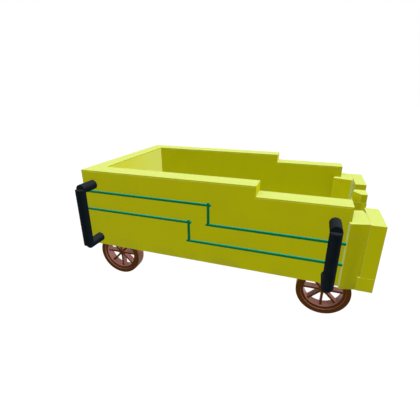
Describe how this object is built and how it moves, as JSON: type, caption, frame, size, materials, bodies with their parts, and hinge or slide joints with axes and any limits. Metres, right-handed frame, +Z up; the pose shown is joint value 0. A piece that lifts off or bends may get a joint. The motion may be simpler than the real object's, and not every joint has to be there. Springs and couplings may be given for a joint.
{
  "type": "mine cart",
  "caption": "Open mine cart with a stepped double-skinned tub, spoked wheels on dead axles, grab handles, line pipes and a buffer front with a drawbar slot.",
  "frame": {"origin": "on the ground under the middle of the cart", "axes": "+X forwards to the buffer end, +Y to the left side, +Z up"},
  "size_m": [1.755, 1.306, 0.726],
  "materials": {
    "yellow_paint": "satin paint, sides",
    "yellow_paint_top": "satin paint on the top edges, dusted",
    "yellow_paint_worn": "satin paint with scuffs",
    "primed_steel": "matt primer",
    "underframe_grey": "dark grey paint",
    "tyre_iron": "dark brown oxide",
    "wheel_iron": "dark brown oxide",
    "bronze": "turned",
    "black_grip": "fine dotted grain",
    "green_pipe": "gloss paint",
    "axle_steel": "turned",
    "zinc_fasteners": "zinc plated"
  },
  "bodies": {
    "tub": {"right_outer_skin": "yellow_paint", "left_outer_skin": "yellow_paint", "right_inner_skin": "yellow_paint_worn", "left_inner_skin": "yellow_paint_worn", "right_cap_rail": "yellow_paint_top", "left_cap_rail": "yellow_paint_top", "right_wall_ribs": "primed_steel", "left_wall_ribs": "primed_steel", "rear_outer_plate": "yellow_paint", "rear_inner_plate": "yellow_paint_worn", "rear_cap_rail": "yellow_paint_top", "rear_wall_ribs": "primed_steel", "rear_draw_plate": "underframe_grey", "floor_plate": "yellow_paint_worn", "right_sole_bar": "underframe_grey", "left_sole_bar": "underframe_grey", "cross_members": "underframe_grey", "front_sill_plate": "yellow_paint", "rear_right_pedestal": "underframe_grey", "rear_left_pedestal": "underframe_grey", "front_right_pedestal": "underframe_grey", "front_left_pedestal": "underframe_grey", "pedestal_bolts": "zinc_fasteners", "axle_keeper_bolts": "zinc_fasteners", "rear_axle": "axle_steel", "front_axle": "axle_steel", "axle_collars": "underframe_grey", "axle_washers": "zinc_fasteners", "axle_circlips": "zinc_fasteners", "rear_right_handle": "black_grip", "rear_left_handle": "black_grip", "front_right_handle": "black_grip", "front_left_handle": "black_grip", "handle_screws": "zinc_fasteners", "right_pipes": "green_pipe", "left_pipes": "green_pipe", "pipe_studs": "zinc_fasteners", "right_post": "yellow_paint", "left_post": "yellow_paint", "right_buffer_block": "yellow_paint", "left_buffer_block": "yellow_paint", "front_beam": "yellow_paint", "coupler_head": "yellow_paint", "coupler_pocket": "yellow_paint"},
    "rear_right_wheel": {"rear_right_tyre": "tyre_iron", "rear_right_wheel_centre": "wheel_iron", "rear_right_bush": "bronze", "rear_right_hub_cap": "wheel_iron"},
    "rear_left_wheel": {"rear_left_tyre": "tyre_iron", "rear_left_wheel_centre": "wheel_iron", "rear_left_bush": "bronze", "rear_left_hub_cap": "wheel_iron"},
    "front_right_wheel": {"front_right_tyre": "tyre_iron", "front_right_wheel_centre": "wheel_iron", "front_right_bush": "bronze", "front_right_hub_cap": "wheel_iron"},
    "front_left_wheel": {"front_left_tyre": "tyre_iron", "front_left_wheel_centre": "wheel_iron", "front_left_bush": "bronze", "front_left_hub_cap": "wheel_iron"}
  },
  "joints": [
    {"name": "rear_right_wheel_spin", "type": "hinge", "parent": "tub", "child": "rear_right_wheel", "pos_m": [-0.6755, -0.4525, 0.147], "axis": [0, 1, 0], "continuous": true},
    {"name": "rear_left_wheel_spin", "type": "hinge", "parent": "tub", "child": "rear_left_wheel", "pos_m": [-0.6755, 0.4525, 0.147], "axis": [0, 1, 0], "continuous": true},
    {"name": "front_right_wheel_spin", "type": "hinge", "parent": "tub", "child": "front_right_wheel", "pos_m": [0.6445, -0.4525, 0.147], "axis": [0, 1, 0], "continuous": true},
    {"name": "front_left_wheel_spin", "type": "hinge", "parent": "tub", "child": "front_left_wheel", "pos_m": [0.6445, 0.4525, 0.147], "axis": [0, 1, 0], "continuous": true}
  ]
}
